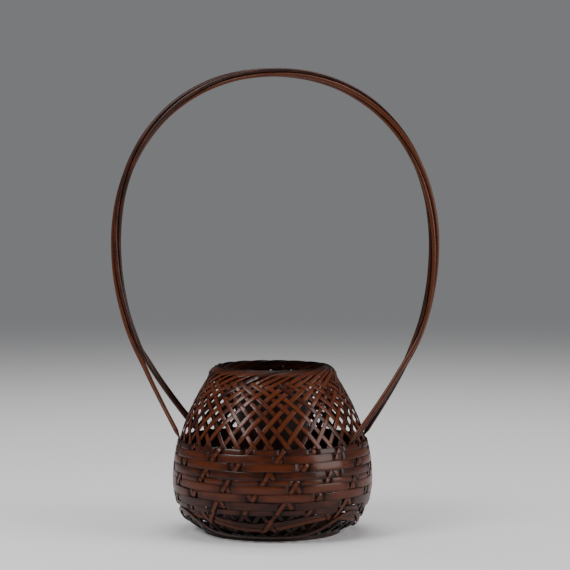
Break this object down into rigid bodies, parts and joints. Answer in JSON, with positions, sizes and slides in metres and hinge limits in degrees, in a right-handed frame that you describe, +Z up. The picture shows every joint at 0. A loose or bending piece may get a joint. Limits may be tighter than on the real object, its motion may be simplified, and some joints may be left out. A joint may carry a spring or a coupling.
{
  "type": "bamboo vase",
  "caption": "Round handled flower basket of dark bamboo strips with an open lattice shoulder, a hooped belly, a tall twisted cane arch and a lift-out water tube.",
  "frame": {"origin": "on the floor, under the middle of the base", "axes": "+Z up, the handle's arch stands in the XZ plane, +X to the right seen from the front (-Y)"},
  "size_m": [0.32, 0.1906, 0.4411],
  "materials": {
    "rib_bamboo": "smoked and lacquered, satin gloss",
    "hoop_bamboo": "smoked and lacquered, satin gloss",
    "handle_cane": "smoked and lacquered, satin gloss",
    "culm_tube": "dark lacquered culm"
  },
  "bodies": {
    "basket": {"rib_strip_01": "rib_bamboo", "rib_strip_02": "rib_bamboo", "rib_strip_03": "rib_bamboo", "rib_strip_04": "rib_bamboo", "rib_strip_05": "rib_bamboo", "rib_strip_06": "rib_bamboo", "rib_strip_07": "rib_bamboo", "rib_strip_08": "rib_bamboo", "rib_strip_09": "rib_bamboo", "rib_strip_10": "rib_bamboo", "rib_strip_11": "rib_bamboo", "rib_strip_12": "rib_bamboo", "rib_strip_13": "rib_bamboo", "rib_strip_14": "rib_bamboo", "rib_strip_15": "rib_bamboo", "rib_strip_16": "rib_bamboo", "rib_strip_17": "rib_bamboo", "rib_strip_18": "rib_bamboo", "rib_strip_19": "rib_bamboo", "rib_strip_20": "rib_bamboo", "rib_strip_21": "rib_bamboo", "rib_strip_22": "rib_bamboo", "rib_strip_23": "rib_bamboo", "rib_strip_24": "rib_bamboo", "rib_strip_25": "rib_bamboo", "rib_strip_26": "rib_bamboo", "rib_strip_27": "rib_bamboo", "rib_strip_28": "rib_bamboo", "rib_strip_29": "rib_bamboo", "rib_strip_30": "rib_bamboo", "rib_strip_31": "rib_bamboo", "rib_strip_32": "rib_bamboo", "rib_strip_33": "rib_bamboo", "rib_strip_34": "rib_bamboo", "rib_strip_35": "rib_bamboo", "rib_strip_36": "rib_bamboo", "hoop_1": "hoop_bamboo", "hoop_2": "hoop_bamboo", "hoop_3": "hoop_bamboo", "hoop_4": "hoop_bamboo", "hoop_5": "hoop_bamboo", "hoop_6": "hoop_bamboo", "hoop_7": "hoop_bamboo", "hoop_8": "hoop_bamboo", "hoop_9": "hoop_bamboo", "foot_hoop_1": "rib_bamboo", "foot_hoop_2": "rib_bamboo", "foot_hoop_3": "rib_bamboo", "foot_ring": "hoop_bamboo", "base_mat_warp": "rib_bamboo", "base_mat_weft": "rib_bamboo", "handle_cane_1": "handle_cane", "handle_cane_2": "handle_cane", "handle_cane_3": "handle_cane", "handle_cane_4": "handle_cane"},
    "water_tube": {"water_tube": "culm_tube"}
  },
  "joints": [
    {"name": "water_tube_lift", "type": "slide", "parent": "basket", "child": "water_tube", "axis": [0, 0, 1], "range_m": [0, 0.165]}
  ]
}
